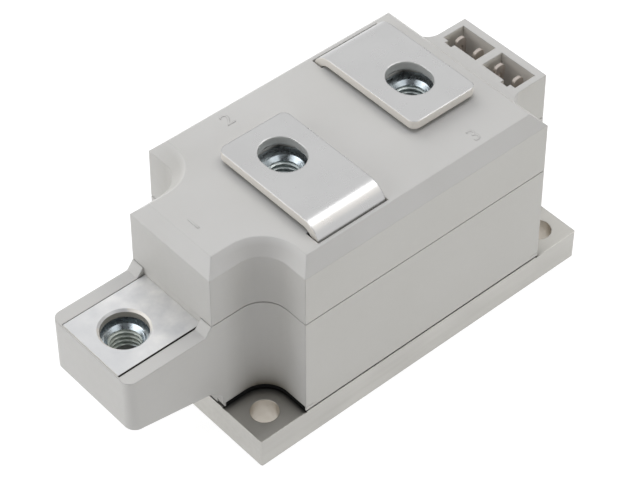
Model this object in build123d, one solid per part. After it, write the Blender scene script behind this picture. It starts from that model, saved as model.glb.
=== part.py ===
"""A dual diode power module with screw terminals, built as it is put together on a bench.

A nickel-plated copper base plate carries two pressure-contact diode stacks in series. Three bent
copper busbars lead out to captive M8 nuts. A moulded housing in two halves closes it, with two
small plug sockets for signal pins at the right-hand end.

Frame: millimetres, +Z up. The origin is the centre of the base plate's underside, +X runs along
the length towards the signal sockets, and terminal 1 stands out at -X.
"""
from build123d import *
import os
from math import atan2, cos, degrees, radians, tan

# Busbars and their screws, the sizes that the rest follows from
terminal_width = 18.0
strip = 2.0
main_screw_diameter = 8.0
nut_flats = 13.0
nut_height = 6.5

# Clamping screws of one diode stack
screw_diameter = 4.0
screw_pitch_x = 19.0
screw_strip_gap = 2.5
screw_head_diameter = 7.0
screw_head_height = 4.0
screw_socket_flats = 3.0
screw_socket_depth = 2.0
screw_clearance = 0.2
screw_grip = 4.1
thread_clearance = 0.03
tapped_spare = 1.0
screw_pitch_y = terminal_width + screw_diameter + 2 * screw_strip_gap

# Clamping bridge, and the two stacks' distance
bridge_spare = 1.0
bridge_thickness = 4.0
bridge_corner_radius = 3.0
bridge_gap = 9.0
bridge_length = screw_pitch_x + screw_head_diameter
bridge_width = screw_pitch_y + screw_head_diameter + bridge_spare
cell_offset = (bridge_length + bridge_gap) / 2
cell_centres = (-cell_offset, cell_offset)

# Parts of one stack, from the base plate upwards
ceramic_length = 25.0
ceramic_gap = 0.5
ceramic_thickness = 1.0
wafer_diameter = 22.0
wafer_thickness = 0.6
lower_disc_thickness = 1.5
upper_disc_thickness = 1.2
ring_wall = 1.6
ring_clearance = 0.15
ring_top_gap = 0.1
insulator_thickness = 3.0
insulator_rim_height = 1.5
insulator_rim_wall = 1.4
pressure_disc_play = 0.4
pressure_disc_thickness = 3.0
spigot_diameter = 8.8
spigot_height = 5.0
spring_play = 0.2
spring_thickness = 1.0
spring_cone_height = 0.4
spring_count = 4
ceramic_width = screw_pitch_y - screw_diameter - 2 * ceramic_gap
lower_disc_diameter = wafer_diameter - 1.0
upper_disc_diameter = wafer_diameter - 3.0
insulator_diameter = wafer_diameter
pressure_disc_diameter = insulator_diameter - 2 * (insulator_rim_wall + pressure_disc_play)
spring_outer_diameter = pressure_disc_diameter - 2 * spring_play
spring_inner_diameter = spigot_diameter + 2 * spring_play

# Housing and base plate in plan: the walls stand round the clamps and the bent legs
wall = 2.5
leg_gap = 1.3
leg_wall_gap = 1.2
neck_gap = 1.0
body_left_gap = 0.4
body_right_gap = 0.7
right_neck_length = 11.8
left_neck_step = 2.2
neck_margin = 0.5
base_margin = 0.5
base_corner_radius = 0.5
base_thickness = 7.6
hole_inset = 6.0
hole_diameter = 6.2
left_notch_radius = 6.5
right_notch_radius = 4.0
draft_angle = 0.5
leg_outer = bridge_width / 2 + leg_gap + strip
body_width = 2 * (leg_outer + leg_wall_gap + wall)
neck_width = terminal_width + 2 * (neck_gap + wall)
body_left = -cell_offset - bridge_length / 2 - body_left_gap - wall
body_right = cell_offset + bridge_length / 2 + body_right_gap + wall
right_neck_end = body_right + right_neck_length
base_length = 2 * (right_neck_end + neck_margin)
left_neck_foot = -right_neck_end
left_neck_end = left_neck_foot - left_neck_step
base_width = body_width + 2 * base_margin
hole_pitch_x = base_length - 2 * hole_inset
hole_pitch_y = base_width - 2 * hole_inset

# Heights inside, from the base plate upwards
seal_thickness = 0.3
seal_inset = 0.5
housing_bottom = base_thickness + seal_thickness
lower_bar_bottom = base_thickness + ceramic_thickness
lower_bar_top = lower_bar_bottom + strip
wafer_bottom = lower_bar_top + lower_disc_thickness
wafer_top = wafer_bottom + wafer_thickness
upper_bar_bottom = wafer_top + upper_disc_thickness
upper_bar_top = upper_bar_bottom + strip
pressure_disc_bottom = upper_bar_top + insulator_thickness
springs_bottom = pressure_disc_bottom + pressure_disc_thickness
spring_pitch = spring_thickness + spring_cone_height
bridge_bottom = springs_bottom + spring_count * spring_pitch
bridge_top = bridge_bottom + bridge_thickness
screw_tip = base_thickness - screw_grip

# Captive nuts and the wells that the screws reach down into
nut_clearance = 0.15
nut_drop = 0.62
nut_drop_1 = 1.0
screw_well_depth = 5.85
block_well_depth = 3.3
well_wall = 1.8
well_floor = 2.0
well_gap = 3.2
nut_minor_diameter = main_screw_diameter - 1.35
nut_mouth_diameter = main_screw_diameter + 0.6
screw_well_diameter = main_screw_diameter + 1.0
well_width = nut_flats / cos(radians(30)) + 2 * (nut_clearance + well_wall)
well_bottom = bridge_top + well_gap

# Housing in height
top_wall = 2.5
chamfer_inset = 2.8
chamfer_drop = 2.98
cover_drop = 15.72
groove_height = 0.25
groove_depth = 0.2
lap_height = 2.0
lap_clearance = 0.15
notch_relief_height = 1.1
notch_relief_depth = 1.7
cutter_spare = 1.0
top_nut_top = well_bottom + well_floor + screw_well_depth + nut_height
top_height = top_nut_top + nut_drop
chamfer_bottom = top_height - chamfer_drop
ceiling = top_height - top_wall
parting_height = top_height - cover_drop

# Terminal block at the left end, part of the lower housing
rim_drop = 2.35
block_floor = 1.0
block_end_wall = 1.35
underside_rise = 10.5
neck_foot = 1.8
block_corner_radius = 2.0
end_lip = 0.25
plate_rise = 0.2
plate_clearance = 0.3
plate_fit = 0.05
screw_reach_1 = 12.3
block_rim_height = parting_height - rim_drop
terminal_1_top = block_rim_height + plate_rise
block_nut_top = terminal_1_top - strip - nut_drop_1
block_end_underside = block_nut_top - nut_height - block_well_depth - block_floor
screw_axis_1 = left_neck_end - screw_reach_1
block_end = screw_axis_1 - nut_flats / cos(radians(30)) / 2 - block_end_wall
underside_slope = tan(radians(underside_rise))
block_root_height = block_end_underside - underside_slope * (left_neck_foot - block_end)
underside_fillet = block_root_height - housing_bottom
recess_left = block_end + end_lip

# Busbar shapes
plate_lift = 1.0
shoulder_drop = 8.8
shoulder = 2.5
plate_bend_radius = 5.0
foot_bend_radius = 3.2
free_corner_radius = 1.8
slot_offset = 0.6
slot_fit = 0.1
slot_back_room_2 = 1.6
slot_back_room_3 = 1.1
terminal_1_bevel = 0.5
terminal_top = top_height + plate_lift + strip
leg_shoulder_height = terminal_top - shoulder_drop
inner_width = terminal_width - 2 * shoulder
plate_reach = 0.8 * nut_flats
foot_reach = lower_disc_diameter / 2 - 0.5
slot_width = main_screw_diameter + 1.3
slot_length = main_screw_diameter + 2.9
terminal_1_hole = main_screw_diameter + 2.2

# Signal sockets at the right end, part of the upper cover
socket_drop = 3.77
socket_depth = 9.0
socket_floor = 2.0
socket_width = 6.0
socket_web = 2.0
socket_side_wall = 1.5
socket_end_wall = 1.9
keyway_depth = 1.0
keyway_width = 2.0
keyway_offset = 2.6
socket_top = top_height - socket_drop
socket_floor_top = socket_top - socket_depth
socket_ceiling = socket_floor_top - socket_floor
socket_length = (neck_width - socket_web) / 2 - socket_side_wall
socket_centre_x = right_neck_end - socket_end_wall - socket_width / 2
socket_middle_y = (socket_length + socket_web) / 2

# Signal pins
pin_inset = 2.25
pin_width = 2.8
pin_thickness = 0.8
pin_tip_drop = 0.3
pin_tip_radius = 1.1
pin_eye_diameter = 1.2
pin_eye_drop = 2.6
pin_shoulder_width = 4.2
pin_shoulder_height = 1.0
pin_tail_width = 1.2
pin_tail_length = 4.0
pin_clearance = 0.05
pin_pitch = socket_length - 2 * pin_inset


def layer(sketch, bottom, top):
    """A flat outline, raised between two heights."""
    return extrude(Pos(0, 0, bottom) * sketch, amount=top - bottom)


def block(x_range, y_range, z_range):
    """A box between two limits along each axis."""
    centre = [(low + high) / 2 for low, high in (x_range, y_range, z_range)]
    size = [high - low for low, high in (x_range, y_range, z_range)]
    return Pos(*centre) * Box(*size)


def plan(left, right, width):
    """A rectangle in plan, centred on the long axis."""
    return Pos((left + right) / 2, 0) * Rectangle(right - left, width)


def disc(diameter, bottom, top):
    """A round disc on the Z axis."""
    return layer(Circle(diameter / 2), bottom, top)


def hexagon(flats):
    """A hexagon by its size across flats, with two flats facing along Y."""
    return RegularPolygon(radius=flats / 2, side_count=6, major_radius=False)


def corners_at(sketch, x, y, reach=0.01):
    """The corners of an outline that lie at a place and at its mirror image in Y."""
    return [v for v in sketch.vertices() if abs(v.X - x) < reach and abs(abs(v.Y) - y) < reach]


def housing_outline(left_end, right_end=None):
    """Plan of the housing: the body, and a neck at each end between the corner notches."""
    outline = plan(body_left, body_right, body_width) + plan(left_end, 0, neck_width)
    if right_end is not None:
        outline += plan(0, right_end, neck_width)
        outline = fillet(corners_at(outline, body_right, neck_width / 2), right_notch_radius)
    return fillet(corners_at(outline, body_left, neck_width / 2), left_notch_radius)


def drafted(outline, bottom, top):
    """The housing's outer form between two heights, its walls leaning outwards on the way down."""
    downwards = Plane(origin=(0, 0, chamfer_bottom), x_dir=(1, 0, 0), z_dir=(0, 0, -1))
    form = extrude(downwards * outline, amount=chamfer_bottom - housing_bottom, taper=-draft_angle)
    return form & block((-base_length, base_length), (-base_width, base_width), (bottom, top))


def ring(outline, outer_inset, inner_inset):
    """The band of an outline between two distances in from its edge."""
    return offset(outline, amount=-outer_inset) - offset(outline, amount=-inner_inset)


def strip_side(points, radii, side):
    """Side view of a bent strip: the line of one face, thickened to one side of its direction."""
    return make_face(offset(FilletPolyline(*points, radius=radii), amount=strip, side=side))


def clamp_screw_places(centre_x):
    """The four clamping screws of one diode stack."""
    return [Pos(centre_x, 0) * spot for spot in GridLocations(screw_pitch_x, screw_pitch_y, 2, 2)]


def base_plate():
    """Copper plate with four mounting holes and blind tapped holes for the clamping screws."""
    plate = extrude(RectangleRounded(base_length, base_width, base_corner_radius), base_thickness)
    for spot in GridLocations(hole_pitch_x, hole_pitch_y, 2, 2):
        plate -= spot * disc(hole_diameter, 0, base_thickness)
    tapped = disc(screw_diameter + 2 * thread_clearance, screw_tip - tapped_spare, base_thickness)
    for centre_x in cell_centres:
        for spot in clamp_screw_places(centre_x):
            plate -= spot * tapped
    return plate


def base_seal():
    """The line of silicone adhesive that the housing stands on, set back in the corner notches."""
    outline = housing_outline(left_neck_foot, right_neck_end)
    line = layer(ring(outline, seal_inset, wall), base_thickness, housing_bottom)
    return line - notch_relief(base_thickness, housing_bottom)


def nut_pocket(mouth, nut_top, well_depth):
    """A hexagonal pocket for a captive nut, with a round well below for the end of the screw."""
    floor = nut_top - nut_height
    pocket = layer(hexagon(nut_flats + 2 * nut_clearance), floor, mouth)
    return pocket + disc(screw_well_diameter, floor - well_depth, floor)


def left_end_solid():
    """The left neck, its sloping foot and the terminal block with its rising underside."""
    outline = Polyline(
        (body_left, housing_bottom),
        (left_neck_foot, housing_bottom),
        (left_neck_foot, block_root_height),
        (block_end - wall, block_end_underside + wall * underside_slope),
        (block_end - wall, block_rim_height),
        (left_neck_end - neck_foot, block_rim_height),
        (left_neck_end, parting_height),
        (body_left, parting_height),
        close=True,
    )
    side = make_face(outline)
    bend = [v for v in side.vertices() if abs(v.Y - block_root_height) < 0.01]
    side = fillet(bend, underside_fillet)
    footprint = plan(block_end, body_left, neck_width)
    footprint = fillet(corners_at(footprint, block_end, neck_width / 2), block_corner_radius)
    form = drafted(footprint, housing_bottom, parting_height)
    return form & extrude(Plane.XZ * side, amount=neck_width, both=True)


def terminal_1_recess():
    """The bed of terminal 1 in the block, and the close slot where it passes the end wall."""
    heights = (terminal_1_top - strip, top_height)
    bed_half = terminal_width / 2 + plate_clearance
    slot_half = terminal_width / 2 + plate_fit
    bed = block((recess_left, left_neck_end), (-bed_half, bed_half), heights)
    return bed + block((recess_left, body_left), (-slot_half, slot_half), heights)


def notch_relief(bottom, top):
    """A low step along the foot of the walls in the four corner notches, over the screw heads."""
    outline = housing_outline(left_neck_foot, right_neck_end)
    left, right = left_neck_foot - cutter_spare, right_neck_end + cutter_spare
    notches = plan(left, right, body_width + 2 * cutter_spare)
    notches -= plan(body_left + notch_relief_depth, body_right - notch_relief_depth, base_width)
    notches -= plan(left, right, neck_width - 2 * notch_relief_depth)
    band = ring(outline, -cutter_spare, notch_relief_depth) & notches
    return layer(band, bottom, top)


def lower_housing():
    """Open-bottomed box with the terminal block on its left end and a lap joint round its top."""
    outline = housing_outline(left_neck_foot, right_neck_end)
    housing = drafted(outline, housing_bottom, parting_height) + left_end_solid()
    housing -= layer(offset(outline, amount=-wall), housing_bottom, parting_height)
    housing += layer(ring(outline, wall / 2, wall), parting_height, parting_height + lap_height)
    joint_line = ring(housing_outline(left_neck_end, right_neck_end), -cutter_spare, groove_depth)
    housing -= layer(joint_line, parting_height - groove_height, parting_height)
    housing -= terminal_1_recess()
    housing -= Pos(screw_axis_1, 0) * nut_pocket(terminal_1_top, block_nut_top, block_well_depth)
    return housing - notch_relief(housing_bottom, housing_bottom + notch_relief_height)


def slot_tongue():
    """The cover's tongue that closes the terminal slot above terminal 1."""
    half = terminal_width / 2
    bottom = terminal_1_top + plate_fit
    return block((left_neck_end, left_neck_end + wall), (-half, half), (bottom, parting_height))


def upper_cover():
    """The cover: chamfered top, terminal slots, nut wells and the two signal sockets."""
    outline = housing_outline(left_neck_end)
    long_outline = housing_outline(left_neck_end, right_neck_end)
    slant = degrees(atan2(chamfer_inset, chamfer_drop))
    cover = drafted(long_outline, parting_height, socket_top)
    cover += drafted(outline, socket_top, chamfer_bottom)
    cover += extrude(Pos(0, 0, chamfer_bottom) * outline, amount=chamfer_drop, taper=slant)
    cover += slot_tongue()
    cover -= layer(offset(outline, amount=-wall), parting_height, ceiling)
    cover -= layer(offset(long_outline, amount=-wall), parting_height, socket_ceiling)
    lap = ring(housing_outline(left_neck_foot, right_neck_end), wall / 2 - lap_clearance, wall)
    cover -= layer(lap, parting_height, parting_height + lap_height + lap_clearance)
    well = layer(RectangleRounded(well_width, well_width, well_wall), well_bottom, ceiling)
    slot_half = terminal_width / 2 + plate_clearance
    slot_outer = leg_outer + slot_fit
    rooms = (slot_back_room_2, slot_back_room_3)
    for side, centre_x, back_room in zip((-1, 1), cell_centres, rooms):
        slot_inner = leg_outer - strip - back_room
        y_range = sorted((side * slot_outer, side * slot_inner))
        cover += Pos(centre_x, 0) * well
        cover -= Pos(centre_x, 0) * nut_pocket(top_height, top_nut_top, screw_well_depth)
        cover -= block((centre_x - slot_half, centre_x + slot_half), y_range, (ceiling, top_height))
    for side in (-1, 1):
        cover -= Pos(socket_centre_x, side * socket_middle_y) * socket_cut(side)
    return cover


def socket_cut(side):
    """One plug socket: the pocket, its keyway on the body side and the slots for two pins."""
    cut = layer(Rectangle(socket_width, socket_length), socket_floor_top, socket_top)
    keyway = Pos(-socket_width / 2, side * keyway_offset) * Rectangle(2 * keyway_depth, keyway_width)
    cut += layer(keyway, socket_floor_top, socket_top)
    slot = Rectangle(pin_width + 2 * pin_clearance, pin_thickness + 2 * pin_clearance)
    for spot in GridLocations(0, pin_pitch, 1, 2):
        cut += layer(spot * slot, socket_ceiling, socket_floor_top)
    return cut


def terminal_1():
    """Busbar 1: out over the block, down the left neck, under stack 1 and over stack 2."""
    right_face = left_neck_foot + wall + plate_clearance + foot_bend_radius
    riser = -strip / 2
    points = [
        (recess_left, terminal_1_top),
        (right_face, terminal_1_top),
        (right_face, lower_bar_top),
        (riser, lower_bar_top),
        (riser, upper_bar_top),
        (cell_offset + foot_reach, upper_bar_top),
    ]
    inside = foot_bend_radius - strip
    radii = [foot_bend_radius, inside, inside, foot_bend_radius]
    side = strip_side(points, radii, Side.RIGHT)
    bar = extrude(Plane.XZ * side, amount=terminal_width / 2, both=True)
    hole = disc(terminal_1_hole, terminal_1_top - strip, terminal_1_top)
    bevel = Pos(0, 0, terminal_1_top - terminal_1_bevel / 2) * Cone(
        terminal_1_hole / 2, terminal_1_hole / 2 + terminal_1_bevel, terminal_1_bevel)
    return bar - Pos(screw_axis_1, 0) * (hole + bevel)


def top_terminal(centre_x, turn, foot_bottom):
    """Busbar 2 or 3: a slotted plate on top, a leg down through the cover and a foot inside."""
    points = [
        (plate_reach, terminal_top),
        (-leg_outer, terminal_top),
        (-leg_outer, foot_bottom),
        (foot_reach, foot_bottom),
    ]
    side = strip_side(points, [plate_bend_radius, foot_bend_radius], Side.LEFT)
    bar = extrude(Plane.YZ * side, amount=terminal_width / 2, both=True)
    for edge in (-1, 1):
        x_range = sorted((edge * inner_width / 2, edge * terminal_width))
        bar -= block(x_range, (-base_width, base_width), (0, leg_shoulder_height))
    corners = [e for e in bar.edges().filter_by(Axis.Z)
               if e.center().Y > plate_reach - 0.01 and e.center().Z > leg_shoulder_height]
    bar = fillet(corners, free_corner_radius)
    slot = Rot(0, 0, 90) * SlotOverall(slot_length, slot_width)
    bar -= Pos(0, turn * slot_offset) * layer(slot, terminal_top - strip, terminal_top)
    return Pos(centre_x, 0) * Rot(0, 0, 0 if turn > 0 else 180) * bar


def terminal_nut(centre_x, nut_top):
    """M8 hexagon nut with corners turned off at both ends and chamfered thread mouths."""
    across_corners = nut_flats / cos(radians(30))
    corner_height = (across_corners - nut_flats) / 2 * tan(radians(30))
    blank = disc(across_corners, 0, nut_height)
    blank = chamfer(blank.edges(), corner_height, (across_corners - nut_flats) / 2)
    nut = layer(hexagon(nut_flats), 0, nut_height) & blank
    nut -= disc(nut_minor_diameter, 0, nut_height)
    mouth = (nut_mouth_diameter - nut_minor_diameter) / 2
    rims = nut.edges().filter_by(GeomType.CIRCLE).group_by(SortBy.RADIUS)[0]
    nut = chamfer(rims, mouth)
    return Pos(centre_x, 0, nut_top - nut_height) * nut


def revolved(points):
    """A ring turned about the Z axis from the corners of its section."""
    return revolve(Plane.XZ * make_face(Polyline(*points, close=True)), Axis.Z)


def ceramic_plate():
    """Ceramic insulator between the base plate and the stack."""
    outline = Rectangle(ceramic_length, ceramic_width)
    return layer(outline, base_thickness, lower_bar_bottom)


def centring_ring():
    """Silicone rubber ring moulded round the edge of the wafer, which centres both discs."""
    lower = lower_disc_diameter / 2 + ring_clearance
    middle = wafer_diameter / 2 + ring_clearance
    upper = upper_disc_diameter / 2 + ring_clearance
    outer = middle + ring_wall
    top = upper_bar_bottom - ring_top_gap
    return revolved([
        (lower, lower_bar_top), (outer, lower_bar_top), (outer, top), (upper, top),
        (upper, wafer_top + ring_clearance), (middle, wafer_top + ring_clearance),
        (middle, wafer_bottom - ring_clearance), (lower, wafer_bottom - ring_clearance),
    ])


def pressure_insulator():
    """Moulded plate that insulates the clamp from the busbar, with a rim round the steel disc."""
    rim_top = pressure_disc_bottom + insulator_rim_height
    plate = disc(insulator_diameter, upper_bar_top, rim_top)
    rim_inner = insulator_diameter - 2 * insulator_rim_wall
    return plate - disc(rim_inner, pressure_disc_bottom, rim_top)


def pressure_disc():
    """Turned steel disc with a spigot that centres the disc springs."""
    plate = disc(pressure_disc_diameter, pressure_disc_bottom, springs_bottom)
    return plate + disc(spigot_diameter, springs_bottom, springs_bottom + spigot_height)


def disc_springs():
    """Conical spring washers, stacked alternately point up and point down."""
    outer = spring_outer_diameter / 2
    inner = spring_inner_diameter / 2
    washers = []
    for count in range(spring_count):
        low = springs_bottom + count * spring_pitch
        high = low + spring_cone_height
        near, far = (outer, inner) if count % 2 == 0 else (inner, outer)
        section = [(near, low), (near, low + spring_thickness),
                   (far, high + spring_thickness), (far, high)]
        washers.append(revolved(section))
    return Part() + washers


def clamp_bridge():
    """Steel plate that the four screws draw down on the springs."""
    plate = layer(
        RectangleRounded(bridge_length, bridge_width, bridge_corner_radius), bridge_bottom, bridge_top)
    for spot in clamp_screw_places(0):
        plate -= spot * disc(screw_diameter + 2 * screw_clearance, bridge_bottom, bridge_top)
    return plate


def clamp_screws():
    """The four M4 socket head screws of one stack."""
    head = disc(screw_head_diameter, bridge_top, bridge_top + screw_head_height)
    head -= layer(hexagon(screw_socket_flats), bridge_top + screw_head_height - screw_socket_depth,
                  bridge_top + screw_head_height)
    screw = head + disc(screw_diameter, screw_tip, bridge_top)
    return Part() + [spot * screw for spot in clamp_screw_places(0)]


def signal_pin(x, y):
    """Stamped blade with a round tip and an eye, a shoulder under the floor, and a tail."""
    tip = socket_top - pin_tip_drop
    blade = Pos(0, (socket_ceiling + tip) / 2) * Rectangle(pin_width, tip - socket_ceiling)
    blade = fillet(blade.vertices().group_by(Axis.Y)[-1], pin_tip_radius)
    blade -= Pos(0, tip - pin_eye_drop) * Circle(pin_eye_diameter / 2)
    shoulder_middle = socket_ceiling - pin_shoulder_height / 2
    blade += Pos(0, shoulder_middle) * Rectangle(pin_shoulder_width, pin_shoulder_height)
    tail_middle = socket_ceiling - pin_shoulder_height - pin_tail_length / 2
    blade += Pos(0, tail_middle) * Rectangle(pin_tail_width, pin_tail_length)
    return Pos(x, y) * extrude(Plane.XZ * blade, amount=pin_thickness / 2, both=True)


def stack_pieces(number, centre_x):
    """Every piece of one diode stack, by node name."""
    pieces = {
        "ceramic_plate": ceramic_plate(),
        "lower_contact_disc": disc(lower_disc_diameter, lower_bar_top, wafer_bottom),
        "diode_wafer": disc(wafer_diameter, wafer_bottom, wafer_top),
        "upper_contact_disc": disc(upper_disc_diameter, wafer_top, upper_bar_bottom),
        "centring_ring": centring_ring(),
        "pressure_insulator": pressure_insulator(),
        "pressure_disc": pressure_disc(),
        "disc_springs": disc_springs(),
        "clamp_bridge": clamp_bridge(),
        "clamp_screws": clamp_screws(),
    }
    return {f"{name}_{number}": Pos(centre_x, 0) * piece for name, piece in pieces.items()}


def module_pieces():
    """Every piece of the module, by node name."""
    pieces = {
        "base_plate": base_plate(),
        "base_seal": base_seal(),
        "lower_housing": lower_housing(),
        "upper_cover": upper_cover(),
        "terminal_1": terminal_1(),
        "terminal_2": top_terminal(cell_centres[0], 1, upper_bar_bottom),
        "terminal_3": top_terminal(cell_centres[1], -1, lower_bar_bottom),
        "terminal_nut_1": terminal_nut(screw_axis_1, block_nut_top),
        "terminal_nut_2": terminal_nut(cell_centres[0], top_nut_top),
        "terminal_nut_3": terminal_nut(cell_centres[1], top_nut_top),
    }
    for number, centre_x in enumerate(cell_centres, start=1):
        pieces.update(stack_pieces(number, centre_x))
    places = [socket * socket_middle_y + pin * pin_pitch / 2 for socket in (-1, 1) for pin in (-1, 1)]
    for number, y in enumerate(places, start=1):
        pieces[f"signal_pin_{number}"] = signal_pin(socket_centre_x, y)
    return pieces


os.makedirs("parts", exist_ok=True)
for node, solid in module_pieces().items():
    export_step(solid, f"parts/{node}.step")
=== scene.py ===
from math import radians

import bpy
import numpy as np
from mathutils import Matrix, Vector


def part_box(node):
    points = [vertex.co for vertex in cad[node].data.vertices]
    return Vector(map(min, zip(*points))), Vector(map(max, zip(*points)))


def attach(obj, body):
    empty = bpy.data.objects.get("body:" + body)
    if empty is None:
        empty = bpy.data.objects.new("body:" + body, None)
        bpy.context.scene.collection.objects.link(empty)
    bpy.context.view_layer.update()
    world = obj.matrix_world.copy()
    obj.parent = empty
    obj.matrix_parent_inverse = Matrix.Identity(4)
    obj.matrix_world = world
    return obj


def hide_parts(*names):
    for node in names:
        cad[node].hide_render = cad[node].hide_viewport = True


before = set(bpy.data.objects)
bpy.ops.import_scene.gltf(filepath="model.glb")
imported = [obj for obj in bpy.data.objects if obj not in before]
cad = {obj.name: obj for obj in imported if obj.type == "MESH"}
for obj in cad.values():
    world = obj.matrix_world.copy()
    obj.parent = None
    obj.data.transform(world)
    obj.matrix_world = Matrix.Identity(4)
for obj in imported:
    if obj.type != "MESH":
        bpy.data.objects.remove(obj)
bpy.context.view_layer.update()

MM = 0.001


# Base plate
# A ground copper plate with four drilled holes, nickel plated to a pale grey satin. It carries the
# whole module and takes its heat down into the heatsink. Its bores get a paler tone as painted
# light, and its top gets painted shade along the walls of the housing's corner notches.
base_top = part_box("base_plate")[1][2]
hole_x = 40.0 * MM
hole_y = 19.0 * MM
bore_radius = 3.12 * MM
bore_edge = 0.04 * MM
notch_plan_radius = 6.2 * MM
shade_fade = 1.0 * MM
shade_most = 0.85
under_wall = 0.3 * MM
skin = 0.1 * MM
bore_light_tone = (0.58, 0.54, 0.48)
shade_tone = (0.02, 0.018, 0.015)
gloss_streaks = (0.08, 1.0, 1.0)
grinding_streaks = (0.1, 1.0, 1.0)


def finish(name, colour, roughness, metallic=0.0):
    """A new material: its node tree, and its Principled shader with the plain values set."""
    material = bpy.data.materials.new(name)
    material.use_nodes = True
    tree = material.node_tree
    shader = tree.nodes["Principled BSDF"]
    shader.inputs["Base Color"].default_value = (*colour, 1.0)
    shader.inputs["Roughness"].default_value = roughness
    shader.inputs["Metallic"].default_value = metallic
    return material, tree, shader


def join(tree, *sockets):
    """Links output and input sockets, taken two by two."""
    for start, end in zip(sockets[::2], sockets[1::2]):
        tree.links.new(start, end)


def pattern(tree, cells, detail=3.0, stretch=(1.0, 1.0, 1.0)):
    """A noise value over the object's own coordinates, with so many cells to the metre."""
    place = tree.nodes.new("ShaderNodeTexCoord")
    mapping = tree.nodes.new("ShaderNodeMapping")
    noise = tree.nodes.new("ShaderNodeTexNoise")
    mapping.inputs["Scale"].default_value = stretch
    noise.inputs["Scale"].default_value = cells
    noise.inputs["Detail"].default_value = detail
    join(tree, place.outputs["Object"], mapping.inputs["Vector"],
         mapping.outputs["Vector"], noise.inputs["Vector"])
    return noise.outputs["Fac"]


def spread(tree, value, low, high, start=0.3, end=0.7):
    """Carries a value from the band start..end to low..high, and stays at these outside the band.
    Unless another band is given, it is the one where a noise value mostly lies."""
    ramp = tree.nodes.new("ShaderNodeMapRange")
    ramp.inputs["From Min"].default_value = start
    ramp.inputs["From Max"].default_value = end
    ramp.inputs["To Min"].default_value = low
    ramp.inputs["To Max"].default_value = high
    join(tree, value, ramp.inputs["Value"])
    return ramp.outputs["Result"]


def tint(tree, shader, value, dark, light):
    """Varies the base colour between two tones with a value from 0 to 1."""
    mix = tree.nodes.new("ShaderNodeMix")
    mix.data_type = "RGBA"
    mix.inputs["A"].default_value = (*dark, 1.0)
    mix.inputs["B"].default_value = (*light, 1.0)
    join(tree, value, mix.inputs["Factor"], mix.outputs["Result"], shader.inputs["Base Color"])
    return mix.outputs["Result"]


def patch(tree, shader, before, value, colour):
    """Turns the base colour towards one tone where a value rises from 0 to 1."""
    mix = tree.nodes.new("ShaderNodeMix")
    mix.data_type = "RGBA"
    mix.inputs["B"].default_value = (*colour, 1.0)
    join(tree, value, mix.inputs["Factor"], before, mix.inputs["A"],
         mix.outputs["Result"], shader.inputs["Base Color"])
    return mix.outputs["Result"]


def cloud(tree, shader, dark, light, cells, detail=3.0):
    """Clouds the base colour softly between two tones."""
    return tint(tree, shader, spread(tree, pattern(tree, cells, detail), 0.0, 1.0), dark, light)


def mottle(tree, shader, low, high, cells, stretch=(1.0, 1.0, 1.0)):
    """Varies the roughness softly between two values."""
    gloss = spread(tree, pattern(tree, cells, stretch=stretch), low, high)
    join(tree, gloss, shader.inputs["Roughness"])


def soften(tree, shader, radius, height=None, depth=0.0):
    """Rounds the edges that the light sees, and adds a fine relief to the surface."""
    edge = tree.nodes.new("ShaderNodeBevel")
    edge.samples = 6
    edge.inputs["Radius"].default_value = radius
    normal = edge.outputs["Normal"]
    if height is not None:
        relief = tree.nodes.new("ShaderNodeBump")
        relief.inputs["Strength"].default_value = 1.0
        relief.inputs["Distance"].default_value = depth
        join(tree, height, relief.inputs["Height"], normal, relief.inputs["Normal"])
        normal = relief.outputs["Normal"]
    join(tree, normal, shader.inputs["Normal"])


def work_out(tree, operation, *values):
    """A Math node on up to three values, each a socket or a plain number."""
    node = tree.nodes.new("ShaderNodeMath")
    node.operation = operation
    for socket, value in zip(node.inputs, values):
        if isinstance(value, bpy.types.NodeSocket):
            join(tree, value, socket)
        else:
            socket.default_value = value
    return node.outputs["Value"]


def absolute(tree, value):
    """A value without its sign."""
    return work_out(tree, "ABSOLUTE", value)


def above(tree, value, limit):
    """One where a value is larger than a limit, and nought elsewhere."""
    return work_out(tree, "GREATER_THAN", value, limit)


def below(tree, value, limit):
    """One where a value is smaller than a limit, and nought elsewhere."""
    return work_out(tree, "LESS_THAN", value, limit)


def product(tree, first, *others):
    """Several values multiplied. Of marks that are one or nought, it is one where all of them are."""
    total = first
    for other in others:
        total = work_out(tree, "MULTIPLY", total, other)
    return total


def hypotenuse(tree, across, along):
    """The square root of the sum of two squares."""
    square = work_out(tree, "MULTIPLY", along, along)
    return work_out(tree, "SQRT", work_out(tree, "MULTIPLY_ADD", across, across, square))


def plan_distance(tree, x, y, far_x, far_y):
    """Distance in plan from the nearest of four points, one in each quarter."""
    across = work_out(tree, "SUBTRACT", absolute(tree, x), far_x)
    along = work_out(tree, "SUBTRACT", absolute(tree, y), far_y)
    return hypotenuse(tree, across, along)


def axes(tree, name="ShaderNodeTexCoord", output="Object"):
    """The three parts of the object's own coordinates, or of another node's vector."""
    split = tree.nodes.new("ShaderNodeSeparateXYZ")
    join(tree, tree.nodes.new(name).outputs[output], split.inputs["Vector"])
    return split.outputs["X"], split.outputs["Y"], split.outputs["Z"]


def face_normal(tree):
    """The three parts of the direction in which a face points."""
    return axes(tree, "ShaderNodeNewGeometry", "True Normal")


def dress(node, material):
    """Gives a CAD node's object its material."""
    cad[node].data.materials.clear()
    cad[node].data.materials.append(material)


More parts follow.
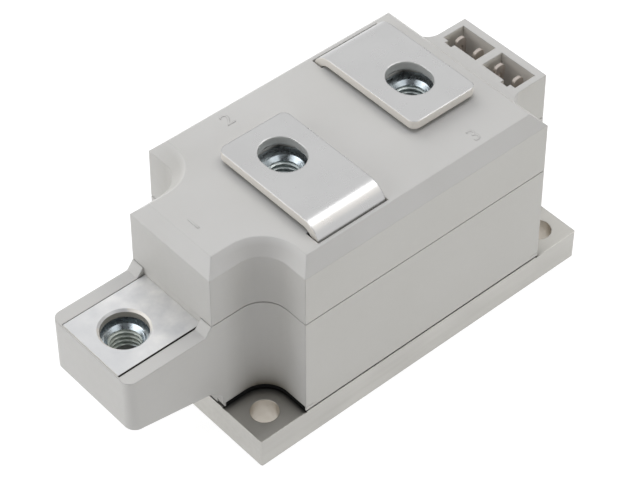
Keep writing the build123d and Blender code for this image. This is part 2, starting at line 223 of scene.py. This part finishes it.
def notch_shade(tree, x, y, z):
    """How dark the plate is in the corner notches. In plan, a notch is a quarter circle round its
    hole, carried on straight to both edges of the plate. The shade is an exponential of the
    distance from the notch's wall, on the top face alone."""
    short_x = work_out(tree, "MAXIMUM", work_out(tree, "SUBTRACT", hole_x, absolute(tree, x)), 0.0)
    short_y = work_out(tree, "MAXIMUM", work_out(tree, "SUBTRACT", hole_y, absolute(tree, y)), 0.0)
    from_wall = work_out(tree, "SUBTRACT", notch_plan_radius, hypotenuse(tree, short_x, short_y))
    fading = work_out(tree, "EXPONENT", work_out(tree, "DIVIDE", from_wall, -shade_fade))
    in_notch = above(tree, from_wall, -under_wall)
    on_top = above(tree, z, base_top - skin)
    return product(tree, fading, shade_most, in_notch, on_top)


def in_bores(tree, x, y):
    """One inside the four bores, and nought past their edges."""
    from_hole = plan_distance(tree, x, y, hole_x, hole_y)
    return spread(tree, from_hole, 1.0, 0.0, bore_radius, bore_radius + bore_edge)


base_metal, tree, shader = finish("ground_nickel", (0.47, 0.46, 0.43), roughness=0.4, metallic=0.9)
x, y, z = axes(tree)
tone = cloud(tree, shader, (0.465, 0.455, 0.43), (0.525, 0.515, 0.485), cells=60.0, detail=4.0)
# Painted shade on the plate's top along the walls of the corner notches.
tone = patch(tree, shader, tone, notch_shade(tree, x, y, z), shade_tone)
# Painted light: the bores get a paler, warmer tone.
patch(tree, shader, tone, in_bores(tree, x, y), bore_light_tone)
mottle(tree, shader, 0.34, 0.48, cells=900.0, stretch=gloss_streaks)
grinding = pattern(tree, cells=2600.0, detail=2.0, stretch=grinding_streaks)
soften(tree, shader, 0.35 * MM, height=grinding, depth=0.004 * MM)
dress("base_plate", base_metal)


# Ceramic plates
# White alumina wafers under each stack, lapped flat. They insulate the diodes from the base plate
# and still carry the heat down to it.
ceramic, tree, shader = finish("white_ceramic", (0.82, 0.81, 0.77), roughness=0.35)
cloud(tree, shader, (0.78, 0.77, 0.73), (0.84, 0.83, 0.8), cells=500.0)
soften(tree, shader, 0.1 * MM)
for number in (1, 2):
    dress(f"ceramic_plate_{number}", ceramic)


# Contact discs
# Lapped molybdenum discs above and below each wafer. They spread the clamping force and grow with
# heat nearly as little as the silicon does.
molybdenum, tree, shader = finish("lapped_molybdenum", (0.42, 0.42, 0.43), roughness=0.4, metallic=1.0)
mottle(tree, shader, 0.32, 0.5, cells=1500.0)
soften(tree, shader, 0.1 * MM)
for number in (1, 2):
    dress(f"lower_contact_disc_{number}", molybdenum)
    dress(f"upper_contact_disc_{number}", molybdenum)


# Diode wafers
# Thin polished silicon discs, the diodes themselves, dark grey with a faint blue sheen. They lie
# loose between their contact discs and are held by the clamping force alone.
silicon, tree, shader = finish("polished_silicon", (0.05, 0.05, 0.065), roughness=0.12, metallic=0.6)
mottle(tree, shader, 0.08, 0.18, cells=400.0)
for number in (1, 2):
    dress(f"diode_wafer_{number}", silicon)


# Centring rings
# Whitish silicone rubber, moulded round each wafer's edge. A ring seals the wafer and keeps both
# contact discs in line with it.
silicone, tree, shader = finish("white_silicone", (0.52, 0.51, 0.48), roughness=0.55)
cloud(tree, shader, (0.47, 0.46, 0.43), (0.56, 0.55, 0.52), cells=700.0)
soften(tree, shader, 0.1 * MM, height=pattern(tree, cells=2500.0), depth=0.01 * MM)
for number in (1, 2):
    dress(f"centring_ring_{number}", silicone)


# Base seal
# The line of dark silicone adhesive that bonds the housing to the base plate. It fills the relief
# under the housing's foot and shows there as a black bead, high in the corner notches and thin
# along both sides. Its near-black tone and the bead are partly painted shade, standing in for the
# shadow in the relief gap.
body_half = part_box("lower_housing")[1][1]
neck_half = 12.83 * MM
left_wall = -33.73 * MM
right_wall = 34.03 * MM
left_foot_end = -45.5 * MM
right_foot_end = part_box("lower_housing")[1][0]
left_notch_radius = 6.17 * MM
right_notch_radius = 3.67 * MM
relief_top = base_top + 1.39 * MM
relief_reach = 1.9 * MM
gap_top = base_top + 0.29 * MM
gap_reach = 0.75 * MM
heel_depth = 0.3 * MM
bead_inset = 0.1 * MM
bead_rows = 7
notch_columns = 17


def added(name, data):
    """A new object in the scene, at the origin, unturned and unscaled."""
    thing = bpy.data.objects.new(name, data)
    bpy.context.scene.collection.objects.link(thing)
    return thing


def new_piece(name, mesh, material):
    """A finished mesh as a piece of the module, with its material and body."""
    mesh.materials.append(material)
    piece = added(name, mesh)
    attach(piece, "root")
    return piece


def carried(path, inward, depth, height, flip):
    """A closed profile of depths inwards and heights, carried along a path in plan. Each point is
    the path's, moved inwards by the profile's depth, at the profile's height."""
    plan = path[None, :, :] + depth[:, None, None] * inward[None, :, :]
    level = np.broadcast_to(height[:, None, None], plan.shape[:2] + (1,))
    points = np.concatenate([plan, level], axis=-1)
    rows, columns = points.shape[:2]
    index = np.arange(rows * columns).reshape(rows, columns)
    above_it = np.roll(index, -1, axis=0)
    quads = np.stack([index[:, :-1], index[:, 1:], above_it[:, 1:], above_it[:, :-1]], axis=-1)
    faces = [tuple(face) for face in quads.reshape(-1, 4)]
    faces += [tuple(index[::-1, 0]), tuple(index[:, -1])]
    if flip:
        faces = [face[::-1] for face in faces]
    return points.reshape(-1, 3), faces


def bead(path, inward, reach, top, flip):
    """A strip of adhesive along a path in plan. Its outer face bulges like half a sine wave between
    the base and its top, and its back stands at a fixed reach inwards."""
    rise = np.linspace(0.0, 1.0, bead_rows)
    depth = np.append(bead_inset * (2.0 - np.sin(np.pi * rise)), [reach, reach])
    height = np.append(base_top + rise * (top - base_top), [top, base_top])
    return carried(path, inward, depth, height, flip)


def notch_bead(side_x, side_y, wall, end, radius):
    """The bead along one corner notch: neck wall, quarter circle and body wall. It is worked out for
    the notch at the far left and mirrored to its own corner."""
    angle = np.linspace(-np.pi / 2, 0.0, notch_columns)
    centre = np.array([side_x * wall - radius, neck_half + radius])
    turned = np.stack([np.cos(angle), np.sin(angle)], axis=-1)
    start = (side_x * end + heel_depth + bead_inset, neck_half)
    stop = (side_x * wall, body_half - heel_depth - bead_inset)
    path = np.vstack([start, centre + radius * turned, stop])
    inward = np.vstack([turned[0], turned, turned[-1]])
    mirror = np.array([side_x, side_y])
    return bead(path * mirror, inward * mirror, relief_reach, relief_top, side_x * side_y < 0)


def side_bead(side_y):
    """The thin bead along one long side, between the backs of its two notches."""
    path = [(left_wall + relief_reach, side_y * body_half), (right_wall - relief_reach, side_y * body_half)]
    return bead(np.array(path), np.array([(0.0, -side_y)] * 2), gap_reach, gap_top, side_y > 0)


def strip_piece(name, parts, material):
    """One piece out of several carried strips."""
    spots = []
    faces = []
    for part_spots, part_faces in parts:
        start = sum(len(part) for part in spots)
        spots.append(part_spots)
        faces += [tuple(start + corner for corner in face) for face in part_faces]
    mesh = bpy.data.meshes.new(name)
    mesh.from_pydata(np.vstack(spots), [], faces)
    new_piece(name, mesh, material)


# Near-black adhesive that is partly painted shade: it darkens the relief gap under the housing's foot.
adhesive_and_shade, tree, shader = finish("adhesive_and_gap_shade", (0.006, 0.006, 0.006), roughness=0.6)
shader.inputs["Specular IOR Level"].default_value = 0.15
mottle(tree, shader, 0.6, 0.8, cells=700.0)
soften(tree, shader, 0.1 * MM, height=pattern(tree, cells=2500.0), depth=0.01 * MM)
dress("base_seal", adhesive_and_shade)
beads = []
for side_y in (-1, 1):
    beads.append(notch_bead(1, side_y, left_wall, left_foot_end, left_notch_radius))
    beads.append(notch_bead(-1, side_y, right_wall, right_foot_end, right_notch_radius))
    beads.append(side_bead(side_y))
strip_piece("adhesive_and_shade_bead", beads, adhesive_and_shade)


# Pressure insulators
# Dark glass-filled mouldings between the upper busbar and the steel pressure disc. A rim keeps the
# disc in the middle.
inner_plastic, tree, shader = finish("dark_moulding", (0.03, 0.03, 0.03), roughness=0.5)
mottle(tree, shader, 0.42, 0.6, cells=1200.0)
soften(tree, shader, 0.15 * MM, height=pattern(tree, cells=3000.0), depth=0.006 * MM)
for number in (1, 2):
    dress(f"pressure_insulator_{number}", inner_plastic)


# Clamping gear
# Zinc-plated steel pressure discs and bridges, drawn down on disc springs by oiled black screws in
# tapped holes of the base plate.
zinc_steel, tree, shader = finish("zinc_steel", (0.58, 0.60, 0.62), roughness=0.32, metallic=1.0)
mottle(tree, shader, 0.26, 0.4, cells=1000.0)
soften(tree, shader, 0.2 * MM)
black_steel, tree, shader = finish("oiled_steel", (0.12, 0.12, 0.125), roughness=0.35, metallic=1.0)
mottle(tree, shader, 0.28, 0.42, cells=1000.0)
soften(tree, shader, 0.15 * MM)
for number in (1, 2):
    dress(f"pressure_disc_{number}", zinc_steel)
    dress(f"clamp_bridge_{number}", zinc_steel)
    dress(f"disc_springs_{number}", black_steel)
    dress(f"clamp_screws_{number}", black_steel)


# Busbars
# Copper strip, punched, bent and nickel plated to a faintly clouded satin. Busbar 1 is duller and
# lies in a bed with a groove along its sides; painted shade darkens its outer end, its hole and its
# sides in that groove. The punched edges are rough, and their pale tone is partly painted reflection.
strip_thickness = 2.0 * MM
busbar_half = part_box("terminal_1")[1][1]
terminal_1_top = 31.8 * MM
upper_plate_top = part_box("terminal_2")[1][2]
nut_1_x = (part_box("terminal_nut_1")[0][0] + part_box("terminal_nut_1")[1][0]) / 2
nut_2_x = (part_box("terminal_nut_2")[0][0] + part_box("terminal_nut_2")[1][0]) / 2
plate_depth = 1.02 * strip_thickness
hole_reach = 7.5 * MM
facing_limit = 0.5
least_cloud = 0.2
least_unshaded = 0.1
end_shade_fade = 20.0 * MM
end_shade_from_nut = 11.0 * MM
far_left = -1000.0 * MM
drawing_streaks = (1.0, 0.15, 1.0)
punched_sheen_tone = (0.75, 0.72, 0.67)
punched_roughness = 0.22
punched_metallic = 0.5


def busbar_metal(name, colour, cloud_and_shade_colour, roughness, metallic, cells, plate_top, edge, nut_x,
                 hole_shade_tone, shade_from_x, groove_shade_tone):
    """Nickel plate: cloudy tone, uneven gloss and softly rounded edges. The punched faces are the
    upright ones of the plate and the strip's ends, and their pale tone is partly painted reflection.
    The hole over the nut and the sides that face a groove have their own tones, which on busbar 1 are
    painted shade, and painted shade darkens the plate left of the given x."""
    metal, tree, shader = finish(name, colour, roughness, metallic)
    normal_x, _, normal_z = face_normal(tree)
    x, y, z = axes(tree)
    upright = below(tree, absolute(tree, normal_z), facing_limit)
    end_on = above(tree, absolute(tree, normal_x), facing_limit)
    plate_side = product(tree, upright, above(tree, z, plate_top - plate_depth))
    punched = work_out(tree, "MAXIMUM", plate_side, end_on)
    from_hole = plan_distance(tree, x, y, abs(nut_x), 0.0)
    in_hole = product(tree, upright, below(tree, from_hole, hole_reach))
    in_groove = product(tree, plate_side, above(tree, absolute(tree, y), busbar_half - skin))
    clouds = spread(tree, pattern(tree, cells, detail=5.0), least_cloud, 1.0)
    # Painted shade: the tone darkens towards the outer end, left of the given x, mixed with the clouds.
    unshaded = spread(tree, x, least_unshaded, 1.0, shade_from_x, shade_from_x + end_shade_fade)
    tone = tint(tree, shader, product(tree, clouds, unshaded), cloud_and_shade_colour, colour)
    # Punched faces: a rough, less metallic finish, with a pale tone that is partly painted reflection.
    tone = patch(tree, shader, tone, punched, punched_sheen_tone)
    # Painted shade inside the hole over the nut, dark on busbar 1.
    tone = patch(tree, shader, tone, in_hole, hole_shade_tone)
    # Painted shade: busbar 1's sides darken where they face the groove of its bed.
    patch(tree, shader, tone, in_groove, groove_shade_tone)
    gloss = spread(tree, pattern(tree, cells=260.0, detail=6.0), roughness - 0.03, roughness + 0.05)
    join(tree, work_out(tree, "MULTIPLY_ADD", punched, punched_roughness, gloss),
         shader.inputs["Roughness"])
    join(tree, spread(tree, punched, metallic, punched_metallic, 0.0, 1.0), shader.inputs["Metallic"])
    drawing = pattern(tree, cells=1800.0, detail=4.0, stretch=drawing_streaks)
    soften(tree, shader, edge, height=drawing, depth=0.0008 * MM)
    return metal


# Busbar 1: painted shade at its outer end, in its hole and along its groove.
dull_nickel = busbar_metal(
    "dull_nickel", colour=(0.89, 0.88, 0.85), cloud_and_shade_colour=(0.58, 0.585, 0.59), roughness=0.36,
    metallic=0.4, cells=230.0, plate_top=terminal_1_top, edge=0.15 * MM, nut_x=nut_1_x,
    hole_shade_tone=(0.38, 0.36, 0.32), shade_from_x=nut_1_x - end_shade_from_nut, groove_shade_tone=(0.09, 0.08, 0.07))
satin_nickel = busbar_metal(
    "satin_nickel", colour=(0.56, 0.56, 0.56), cloud_and_shade_colour=(0.53, 0.53, 0.53), roughness=0.28,
    metallic=1.0, cells=120.0, plate_top=upper_plate_top, edge=0.5 * MM, nut_x=nut_2_x,
    hole_shade_tone=(0.56, 0.56, 0.54), shade_from_x=far_left, groove_shade_tone=punched_sheen_tone)
dress("terminal_1", dull_nickel)
dress("terminal_2", satin_nickel)
dress("terminal_3", satin_nickel)


# Housing and cover
# Two mouldings of pale warm grey glass-filled plastic with a fine matt grain, bonded on a lap joint.
# Painted shade darkens the corner notches, most at their foot, and the end wall under the terminal
# block. Painted light makes the sockets and the long sides paler. The lowest edge is darkened by an
# adhesive smear and by painted shade. Small heels close the ends of the relief over the seal.
middle_x = (left_wall + right_wall) / 2
wall_x = right_wall - middle_x
notch_wall_shade_tone = (0.06, 0.04, 0.012)
wall_shade_full = 3.5 * MM
wall_shade_end = 11.0 * MM
wall_shade_fade = 2.2 * MM
wall_foot_shade = 0.72
left_wall_shade_most = 0.17
wall_fade_start = 48.4 * MM
wall_fade_end = 49.6 * MM
socket_light_tone = (0.70, 0.67, 0.62)
socket_y = 6.17 * MM
socket_half = 5.35 * MM
socket_start_x = 36.6 * MM
socket_end_x = 44.1 * MM
socket_floor = 36.5 * MM
socket_rim = 45.75 * MM
side_light_tone = (0.67, 0.655, 0.60)
side_light_share = 0.42
square_on = 0.9
side_start_y = 20.0 * MM
end_wall_x = right_wall + 3.0 * MM
foot_shade_tone = (0.06, 0.05, 0.03)
foot_shade_share = 0.24
foot_wall_depth = 1.0 * MM
foot_fade_start = 12.0 * MM
foot_fade_end = 15.0 * MM
smear_and_shade_tone = (0.03, 0.03, 0.03)
smear_and_shade_height = 0.14 * MM


def notch_wall_shade(tree, x, y, z):
    """How much painted shade darkens the walls of the corner notches: an exponential of the height over
    the seal's relief, and on the left a little more all the way up to the cover's top. Both fade out
    with the distance in plan from the notch's inner corner."""
    from_corner = plan_distance(tree, work_out(tree, "SUBTRACT", x, middle_x), y, wall_x, neck_half)
    near_corner = spread(tree, from_corner, 1.0, 0.0, wall_shade_full, wall_shade_end)
    rise = work_out(tree, "MAXIMUM", work_out(tree, "SUBTRACT", z, relief_top), 0.0)
    fading = work_out(tree, "EXPONENT", work_out(tree, "DIVIDE", rise, -wall_shade_fade))
    under_top = spread(tree, z, 1.0, 0.0, wall_fade_start, wall_fade_end)
    left_wall_shade = product(tree, below(tree, x, 0.0), under_top, left_wall_shade_most)
    return product(tree, near_corner, work_out(tree, "MULTIPLY_ADD", fading, wall_foot_shade, left_wall_shade))


def in_sockets(tree, x, y, z):
    """One inside the two sockets, below their rims, and nought elsewhere."""
    from_socket = absolute(tree, work_out(tree, "SUBTRACT", absolute(tree, y), socket_y))
    return product(tree, below(tree, from_socket, socket_half),
                   above(tree, x, socket_start_x), below(tree, x, socket_end_x),
                   above(tree, z, socket_floor), below(tree, z, socket_rim))


def on_long_sides(tree, x, y, normal_y):
    """The share of painted light, a paler tone, on the body's long sides and on the sides of the sockets'
    end.
    """
    side_on = above(tree, absolute(tree, normal_y), square_on)
    on_body = above(tree, absolute(tree, y), side_start_y)
    wanted = work_out(tree, "MAXIMUM", on_body, above(tree, x, end_wall_x))
    return product(tree, side_on, wanted, side_light_share)


def on_left_foot(tree, x, z, normal_x):
    """The share of painted shade on the end wall under the terminal block, which fades out upwards."""
    end_on = below(tree, normal_x, -facing_limit)
    outermost = below(tree, x, left_foot_end + foot_wall_depth)
    fading = spread(tree, z, foot_shade_share, 0.0, foot_fade_start, foot_fade_end)
    return product(tree, end_on, outermost, fading)


housing_plastic, tree, shader = finish("pale_grey_moulding", (0.56, 0.55, 0.52), roughness=0.48)
x, y, z = axes(tree)
normal_x, normal_y, _ = face_normal(tree)
tone = cloud(tree, shader, (0.545, 0.535, 0.505), (0.575, 0.565, 0.54), cells=45.0, detail=4.0)
# Painted shade on the walls of the corner notches.
tone = patch(tree, shader, tone, notch_wall_shade(tree, x, y, z), notch_wall_shade_tone)
# Painted light: the inside of the sockets is paler.
tone = patch(tree, shader, tone, in_sockets(tree, x, y, z), socket_light_tone)
# Painted light: the long sides are paler.
tone = patch(tree, shader, tone, on_long_sides(tree, x, y, normal_y), side_light_tone)
# Painted shade on the end wall under the terminal block.
tone = patch(tree, shader, tone, on_left_foot(tree, x, z, normal_x), foot_shade_tone)
# The lowest edge is darkened by an adhesive smear and by painted shade of the gap under it.
patch(tree, shader, tone, below(tree, z, gap_top + smear_and_shade_height), smear_and_shade_tone)
mottle(tree, shader, 0.43, 0.53, cells=800.0)
soften(tree, shader, 0.35 * MM, height=pattern(tree, cells=3500.0, detail=2.0), depth=0.006 * MM)
dress("lower_housing", housing_plastic)
dress("upper_cover", housing_plastic)

heel_length = 2.3 * MM
heel_proud = 0.02 * MM
heel_depths = np.array([0.0, 0.0, heel_depth, heel_depth])
heel_heights = np.array([gap_top, relief_top, relief_top, gap_top])


def side_heel(side_y, wall, way):
    """A heel on a long side, from a notch's body wall towards the middle of the module."""
    face = side_y * (body_half + heel_proud)
    path = np.array([(wall, face), (wall + way * heel_length, face)])
    return carried(path, np.array([(0.0, -side_y)] * 2), heel_depths, heel_heights, side_y * way > 0)


def end_heel(side_y, end, way):
    """A heel on an end wall, from a notch's neck wall towards the middle of the module."""
    face = end - way * heel_proud
    path = np.array([(face, side_y * neck_half), (face, side_y * (neck_half - heel_length))])
    return carried(path, np.array([(way, 0.0)] * 2), heel_depths, heel_heights, side_y * way < 0)


heels = []
for side_y in (-1, 1):
    heels += [side_heel(side_y, left_wall, 1), side_heel(side_y, right_wall, -1)]
    heels += [end_heel(side_y, left_foot_end, 1), end_heel(side_y, right_foot_end, -1)]
strip_piece("housing_heels", heels, housing_plastic)


# Moulded digits
# The terminal numbers 1, 2 and 3, low in relief on the cover's plastic, each beside its own
# terminal.
digit_height = 3.4 * MM
digit_share_of_size = 0.7
digit_relief = 0.06 * MM
digit_sink = 0.05 * MM
cover_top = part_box("upper_cover")[1][2]
digit_places = {"1": (-41.7 * MM, -0.6 * MM), "2": (-17.3 * MM, 18.4 * MM), "3": (17.8 * MM, -18.7 * MM)}


def moulded_digit(digit, place):
    """A text curve, thickened between its sink and its relief, turned into a mesh at its place."""
    curve = bpy.data.curves.new(f"digit_{digit}", "FONT")
    curve.body = digit
    curve.size = digit_height / digit_share_of_size
    curve.align_x = "CENTER"
    curve.align_y = "CENTER"
    curve.extrude = (digit_relief + digit_sink) / 2
    curve.bevel_depth = digit_relief / 4
    shape = added(f"digit_curve_{digit}", curve)
    mesh = bpy.data.meshes.new_from_object(shape.evaluated_get(bpy.context.evaluated_depsgraph_get()))
    bpy.data.objects.remove(shape)
    spots = np.empty(3 * len(mesh.vertices))
    mesh.vertices.foreach_get("co", spots)
    spots = spots.reshape(-1, 3) + (*place, cover_top + (digit_relief - digit_sink) / 2)
    mesh.vertices.foreach_set("co", spots.ravel())
    new_piece(f"digit_{digit}", mesh, housing_plastic)


for digit, place in digit_places.items():
    moulded_digit(digit, place)


# Terminal nuts
# M8 hexagon nuts in bright zinc, held loose in hexagonal pockets under the busbars. They are cold
# formed, chamfered at both ends and tapped with a 1.25 mm thread. The thread's rougher, less
# metallic finish is its own, and its paler tone is painted light, brightest in nut 1.
nut_flats = 13.0 * MM
nut_face_radius = nut_flats / 2 - 0.05 * MM
nut_columns = 96
thread_major = 4.0 * MM
thread_minor = 3.325 * MM
thread_pitch = 1.25 * MM
thread_rows = 14
thread_crest = 0.25
thread_root = 0.125
mouth_radius = 4.3 * MM
mouth_depth = 1.0 * MM
thread_brightness = {1: 1.0, 2: 0.5, 3: 0.5}
thread_roughness = 0.16
thread_metallic = 0.6
zinc_tone = (0.57, 0.64, 0.69)
thread_light_tone = (0.69, 0.74, 0.69)


def nut_surface(centre_x, bottom, top):
    """A closed grid of angle by profile, and a mark that is one on the thread. The bore's radius is
    a 60 degree thread whose phase turns with the angle, widened by a 45 degree mouth at both ends.
    The outside is the hexagon's radius at each angle, its corners turned off by a 30 degree cone."""
    height = top - bottom
    angle = np.linspace(0.0, 2.0 * np.pi, nut_columns, endpoint=False)
    bore_z = np.linspace(0.0, height, int(height / thread_pitch * thread_rows))
    from_face = np.minimum(bore_z, height - bore_z)[:, None]
    phase = (bore_z[:, None] / thread_pitch - angle[None, :] / (2.0 * np.pi)) % 1.0
    flank = (np.abs(phase - 0.5) * 2.0 - thread_crest) / (1.0 - thread_crest - thread_root)
    bore = thread_minor + (thread_major - thread_minor) * np.clip(flank, 0.0, 1.0)
    bore = np.maximum(bore, mouth_radius - from_face)
    hexagon = nut_flats / 2 / np.cos(angle % (np.pi / 3) - np.pi / 6)
    cone = (hexagon - nut_flats / 2) * np.tan(np.pi / 6)
    face = np.full(nut_columns, nut_face_radius)
    ones = np.ones(nut_columns)
    radius = np.vstack([bore, face, hexagon, hexagon, face])
    z = np.vstack([bore_z[:, None] * ones, height * ones, height - cone, cone, 0.0 * ones])
    points = np.stack([centre_x + radius * np.cos(angle), radius * np.sin(angle), bottom + z], axis=-1)
    tapped = np.zeros(radius.shape)
    tapped[:len(bore_z)] = from_face > mouth_depth
    return points, tapped


def closed_grid(points):
    """Quads between neighbouring points of a grid that closes on itself both ways."""
    rows, columns = points.shape[:2]
    index = np.arange(rows * columns).reshape(rows, columns)
    beside = np.roll(index, -1, axis=1)
    above_it = np.roll(index, -1, axis=0)
    return np.stack([index, above_it, np.roll(above_it, -1, axis=1), beside], axis=-1).reshape(-1, 4)


nut_zinc, tree, shader = finish("bright_zinc", zinc_tone, roughness=0.28, metallic=1.0)
in_thread = tree.nodes.new("ShaderNodeAttribute")
in_thread.attribute_name = "thread"
thread_and_light_mark = in_thread.outputs["Fac"]
# Painted light: the thread's paler tone, scaled per nut by its brightness, lifts the dark bore.
tint(tree, shader, thread_and_light_mark, zinc_tone, thread_light_tone)
join(tree, spread(tree, thread_and_light_mark, 1.0, thread_metallic, 0.0, 1.0), shader.inputs["Metallic"])
gloss = spread(tree, pattern(tree, cells=900.0), 0.22, 0.34)
join(tree, work_out(tree, "MULTIPLY_ADD", thread_and_light_mark, thread_roughness, gloss),
     shader.inputs["Roughness"])
for number, brightness in thread_brightness.items():
    low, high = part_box(f"terminal_nut_{number}")
    points, tapped = nut_surface((low[0] + high[0]) / 2, low[2], high[2])
    mesh = bpy.data.meshes.new(f"threaded_nut_{number}")
    mesh.from_pydata(points.reshape(-1, 3), [], closed_grid(points))
    mesh.attributes.new("thread", "FLOAT", "POINT").data.foreach_set("value", tapped.ravel() * brightness)
    nut = new_piece(f"threaded_nut_{number}", mesh, nut_zinc)
    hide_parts(f"terminal_nut_{number}")


# Signal pins
# Stamped tin-plated blades, two in each socket. Their feet are held in the cover, and a plug's
# contacts grip their flat sides.
pin_tin, tree, shader = finish("tinned_blade", (0.48, 0.43, 0.39), roughness=0.4, metallic=0.6)
mottle(tree, shader, 0.36, 0.5, cells=1500.0)
soften(tree, shader, 0.1 * MM)
for number in (1, 2, 3, 4):
    dress(f"signal_pin_{number}", pin_tin)


# Floor
# A wide pale sheet of paper under the module. It looks white to the camera and in the metal, keeps
# a soft shadow, and throws plain pale light back at the module.
half_floor = 3.0
floor_tone = (0.85, 0.85, 0.85)
seen_tone = (0.30, 0.30, 0.30)
seen_glow = 0.86


def seen_directly(tree):
    """One for camera, glossy and transmission rays, and nought for rays that light the object."""
    rays = tree.nodes.new("ShaderNodeLightPath").outputs
    mirrored = work_out(tree, "MAXIMUM", rays["Is Glossy Ray"], rays["Is Transmission Ray"])
    return work_out(tree, "MAXIMUM", rays["Is Camera Ray"], mirrored)


floor_white, tree, shader = finish("floor_white", floor_tone, roughness=0.9)
shader.inputs["Specular IOR Level"].default_value = 0.0
shader.inputs["Emission Color"].default_value = (1.0, 1.0, 1.0, 1.0)
seen = seen_directly(tree)
tint(tree, shader, seen, floor_tone, seen_tone)
join(tree, spread(tree, seen, 0.0, seen_glow, 0.0, 1.0), shader.inputs["Emission Strength"])
floor_corners = [(half_floor * right, half_floor * back, 0.0)
                 for right, back in ((-1, -1), (1, -1), (1, 1), (-1, 1))]
floor_mesh = bpy.data.meshes.new("floor")
floor_mesh.from_pydata(floor_corners, [], [(0, 1, 2, 3)])
floor_mesh.materials.append(floor_white)
added("floor", floor_mesh)


# Light
# A white studio tent with soft lamps: one behind, one overhead, two smaller ones high on the right
# that shine on the bend of busbar 2, and two large dim panels low at the left and the front.
tent_strength = 0.35
aim_height = 30.0 * MM
world = bpy.data.worlds.new("tent")
bpy.context.scene.world = world
world.use_nodes = True
tree = world.node_tree
tree.nodes.clear()
tent = tree.nodes.new("ShaderNodeBackground")
tent.inputs["Color"].default_value = (0.98, 0.99, 1.0, 1.0)
tent.inputs["Strength"].default_value = tent_strength
shown = tree.nodes.new("ShaderNodeBackground")
shown.inputs["Color"].default_value = (1.0, 1.0, 1.0, 1.0)
shown.inputs["Strength"].default_value = 1.0
choose = tree.nodes.new("ShaderNodeMixShader")
output = tree.nodes.new("ShaderNodeOutputWorld")
join(tree, seen_directly(tree), choose.inputs["Fac"],
     tent.outputs["Background"], choose.inputs[1],
     shown.outputs["Background"], choose.inputs[2],
     choose.outputs["Shader"], output.inputs["Surface"])


def softbox(name, place, size, power, mirrored=True, tone=(1.0, 1.0, 1.0)):
    """A square area lamp at a place, turned to face the middle of the module. Metal shows it only
    if it is mirrored."""
    lamp = bpy.data.lights.new(name, "AREA")
    lamp.color = tone
    lamp.size = size
    lamp.energy = power
    box = added(name, lamp)
    box.location = place
    from_middle = box.location.copy()
    from_middle.z -= aim_height
    box.rotation_euler = from_middle.to_track_quat("Z", "Y").to_euler()
    box.visible_glossy = mirrored


softbox("behind", (0.05, 0.42, 0.36), size=0.45, power=1.35, mirrored=False)
softbox("overhead", (-0.14, 0.02, 0.87), size=0.6, power=1.3, mirrored=False, tone=(0.92, 0.98, 1.2))
softbox("bend_light", (0.42, -0.08, 0.82), size=0.36, power=1.1)
softbox("bend_glow", (0.42, -0.40, 0.70), size=0.44, power=0.26, tone=(1.0, 0.88, 0.72))
softbox("left_panel", (-0.95, 0.35, 0.20), size=1.2, power=7.0)
softbox("right_panel", (0.45, -0.90, 0.05), size=1.2, power=5.8, mirrored=False)


# Dark card
# The dark end of the studio behind the camera. Bright metal facing the lens mirrors it, and the
# corner notches that open towards it get less light. The camera itself never sees it.
card_way = np.array([-0.4616, -0.5049, 0.7297])
card_distance = 0.75
card_radius = 0.33
card_corners = 48
card_across = np.cross([0.0, 0.0, 1.0], card_way)
card_across /= np.linalg.norm(card_across)
card_up = np.cross(card_way, card_across)
card_angle = np.linspace(0.0, 2.0 * np.pi, card_corners, endpoint=False)[:, None]
card_edge = card_radius * (np.cos(card_angle) * card_across + np.sin(card_angle) * card_up)
card_mesh = bpy.data.meshes.new("dark_card")
card_mesh.from_pydata(card_way * card_distance + card_edge, [], [tuple(range(card_corners))])
card_mesh.materials.append(finish("card_black", (0.03, 0.03, 0.03), roughness=0.9)[0])
card = added("dark_card", card_mesh)
card.visible_camera = False


# Camera
# A long lens at the terminal 1 corner, looking down at about 45 degrees. Its place, turn and focal
# length were fitted to the module's right angles.
quarter_pixel = 0.25 / 640
camera_data = bpy.data.cameras.new("camera")
camera_data.sensor_width = 36.0
camera_data.lens = 126.658
camera_data.shift_x = -quarter_pixel
camera_data.shift_y = quarter_pixel
camera = added("camera", camera_data)
camera.location = (-0.230706, -0.252350, 0.364738)
camera.rotation_euler = (radians(44.47917), radians(-0.01577), radians(-41.42500))
bpy.context.scene.camera = camera
bpy.context.scene.view_settings.view_transform = "Standard"
